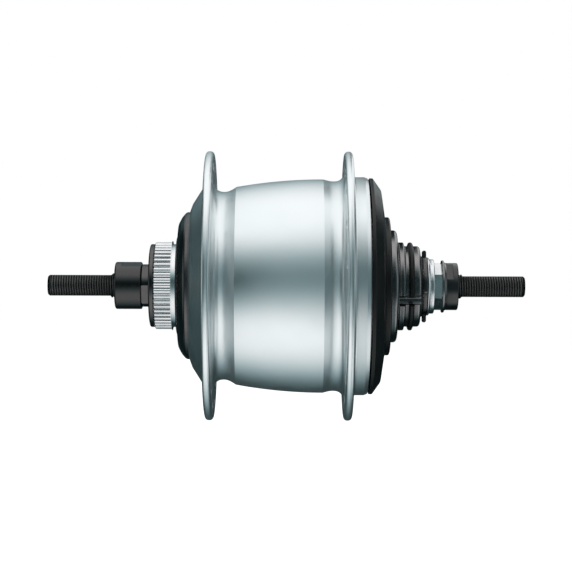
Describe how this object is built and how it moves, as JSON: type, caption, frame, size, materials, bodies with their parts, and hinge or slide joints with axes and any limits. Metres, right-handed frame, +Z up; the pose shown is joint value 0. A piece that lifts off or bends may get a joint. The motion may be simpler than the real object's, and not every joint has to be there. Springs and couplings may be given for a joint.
{
  "type": "internal gear hub",
  "caption": "Rear internal gear hub with spoked flanges, a splined seat for a hub brake, a sprocket driver, a turning gear selector ring and a threaded solid axle.",
  "frame": {"origin": "the middle of the axle, halfway between the two dropout faces of the lock nuts", "axes": "+Z up, the axle along Y with the brake side at +Y and the drive side at -Y, +X forward; a positive turn about +Y is the wheel rolling forward"},
  "size_m": [0.1038, 0.184, 0.1038],
  "materials": {
    "shell_silver": "satin silver lacquer with a cool blue-green tint",
    "bright_steel": "bright nickel plate",
    "spline_steel": "pale satin zinc plate",
    "zinc_steel": "bright zinc plate, turned",
    "black_steel": "black zinc plate, slightly glossy",
    "dark_steel": "dark phosphated steel, ground flats",
    "black_plastic": "black moulding, semi-gloss",
    "black_rubber": "black sealing rubber",
    "gear_steel": "hardened gear steel, oiled",
    "carrier_steel": "machined steel, oiled",
    "ball_steel": "polished bearing steel",
    "cage_steel": "yellow zinc plate"
  },
  "bodies": {
    "axle": {"hub_axle": "black_steel", "left_locknut": "black_steel", "left_cone": "dark_steel", "left_cone_disc": "black_plastic", "right_cone": "bright_steel", "cone_hex_nut": "bright_steel", "lock_washer": "black_steel", "right_locknut": "black_steel", "driver_seal": "black_rubber", "sun_gear_a": "gear_steel", "sun_gear_b3": "gear_steel", "sun_pawls": "gear_steel", "pawl_springs": "zinc_steel", "thrust_washers": "zinc_steel", "return_spring": "zinc_steel"},
    "shell": {"hub_shell": "shell_silver", "brake_spline": "spline_steel", "left_seal": "black_rubber", "left_dust_cap": "black_plastic", "left_cup": "zinc_steel", "right_cup": "zinc_steel", "clutch_liner": "zinc_steel", "ring_gear_b": "gear_steel", "clutch_rollers": "ball_steel", "clutch_cage": "cage_steel"},
    "driver": {"driver": "black_steel", "ring_gear_a": "gear_steel", "driver_pawls": "gear_steel", "driver_pawl_spring": "zinc_steel", "driver_snap_ring": "zinc_steel", "right_dust_cap": "black_plastic", "sprocket_ring": "black_plastic"},
    "carrier": {"carrier_left": "carrier_steel", "carrier_middle": "carrier_steel", "carrier_right": "carrier_steel", "planet_pins_a": "ball_steel", "planet_pins_b": "ball_steel", "low_clutch_cam": "carrier_steel", "low_clutch_rollers": "ball_steel", "low_clutch_cage": "cage_steel", "pin_retaining_ring": "zinc_steel"},
    "planet_a_1": {"planet_a_1": "gear_steel"},
    "planet_a_2": {"planet_a_2": "gear_steel"},
    "planet_a_3": {"planet_a_3": "gear_steel"},
    "planet_b_1": {"planet_b_1": "gear_steel"},
    "planet_b_2": {"planet_b_2": "gear_steel"},
    "planet_b_3": {"planet_b_3": "gear_steel"},
    "sun_b1": {"sun_gear_b1": "gear_steel"},
    "sun_b2": {"sun_gear_b2": "gear_steel"},
    "left_ball_set": {"left_balls": "ball_steel", "left_ball_retainer": "cage_steel"},
    "right_ball_set": {"right_balls": "ball_steel", "right_ball_retainer": "cage_steel"},
    "driver_ball_set": {"driver_balls": "ball_steel", "driver_ball_retainer": "cage_steel"},
    "selector": {"selector_ring": "black_steel", "shift_sleeve": "cage_steel"}
  },
  "joints": [
    {"name": "hub_spin", "type": "hinge", "parent": "axle", "child": "shell", "pos_m": [0, 0, 0], "axis": [0, 1, 0], "continuous": true},
    {"name": "driver_spin", "type": "hinge", "parent": "axle", "child": "driver", "pos_m": [0, 0, 0], "axis": [0, 1, 0], "continuous": true},
    {"name": "carrier_spin", "type": "hinge", "parent": "axle", "child": "carrier", "pos_m": [0, 0, 0], "axis": [0, 1, 0], "continuous": true},
    {"name": "planet_a_1_spin", "type": "hinge", "parent": "carrier", "child": "planet_a_1", "pos_m": [0.0225, 0, 0], "axis": [0, 1, 0], "continuous": true},
    {"name": "planet_a_2_spin", "type": "hinge", "parent": "carrier", "child": "planet_a_2", "pos_m": [-0.01125, 0, 0.01949], "axis": [0, 1, 0], "continuous": true},
    {"name": "planet_a_3_spin", "type": "hinge", "parent": "carrier", "child": "planet_a_3", "pos_m": [-0.01125, 0, -0.01949], "axis": [0, 1, 0], "continuous": true},
    {"name": "planet_b_1_spin", "type": "hinge", "parent": "carrier", "child": "planet_b_1", "pos_m": [0.0225, 0, 0], "axis": [0, 1, 0], "continuous": true},
    {"name": "planet_b_2_spin", "type": "hinge", "parent": "carrier", "child": "planet_b_2", "pos_m": [-0.01125, 0, 0.01949], "axis": [0, 1, 0], "continuous": true},
    {"name": "planet_b_3_spin", "type": "hinge", "parent": "carrier", "child": "planet_b_3", "pos_m": [-0.01125, 0, -0.01949], "axis": [0, 1, 0], "continuous": true},
    {"name": "sun_b1_spin", "type": "hinge", "parent": "axle", "child": "sun_b1", "pos_m": [0, 0, 0], "axis": [0, 1, 0], "continuous": true},
    {"name": "sun_b2_spin", "type": "hinge", "parent": "axle", "child": "sun_b2", "pos_m": [0, 0, 0], "axis": [0, 1, 0], "continuous": true},
    {"name": "left_ball_roll", "type": "hinge", "parent": "axle", "child": "left_ball_set", "pos_m": [0, 0, 0], "axis": [0, 1, 0], "continuous": true},
    {"name": "right_ball_roll", "type": "hinge", "parent": "axle", "child": "right_ball_set", "pos_m": [0, 0, 0], "axis": [0, 1, 0], "continuous": true},
    {"name": "driver_ball_roll", "type": "hinge", "parent": "axle", "child": "driver_ball_set", "pos_m": [0, 0, 0], "axis": [0, 1, 0], "continuous": true},
    {"name": "selector_turn", "type": "hinge", "parent": "axle", "child": "selector", "pos_m": [0, 0, 0], "axis": [0, 1, 0], "range_deg": [0, 154], "stiffness_Nm_per_rad": 0.02}
  ],
  "couplings": [
    {"joint": "driver_spin", "follows": "hub_spin", "ratio": 1.2019},
    {"joint": "carrier_spin", "follows": "hub_spin", "ratio": 0.625},
    {"joint": "planet_a_1_spin", "follows": "hub_spin", "ratio": 2.5},
    {"joint": "planet_a_2_spin", "follows": "hub_spin", "ratio": 2.5},
    {"joint": "planet_a_3_spin", "follows": "hub_spin", "ratio": 2.5},
    {"joint": "planet_b_1_spin", "follows": "hub_spin", "ratio": 1.875},
    {"joint": "planet_b_2_spin", "follows": "hub_spin", "ratio": 1.875},
    {"joint": "planet_b_3_spin", "follows": "hub_spin", "ratio": 1.875},
    {"joint": "sun_b1_spin", "follows": "hub_spin", "ratio": -0.90909},
    {"joint": "sun_b2_spin", "follows": "hub_spin", "ratio": -0.38462},
    {"joint": "left_ball_roll", "follows": "hub_spin", "ratio": 0.6202},
    {"joint": "right_ball_roll", "follows": "hub_spin", "ratio": 1.0941},
    {"joint": "driver_ball_roll", "follows": "hub_spin", "ratio": 0.7135}
  ]
}
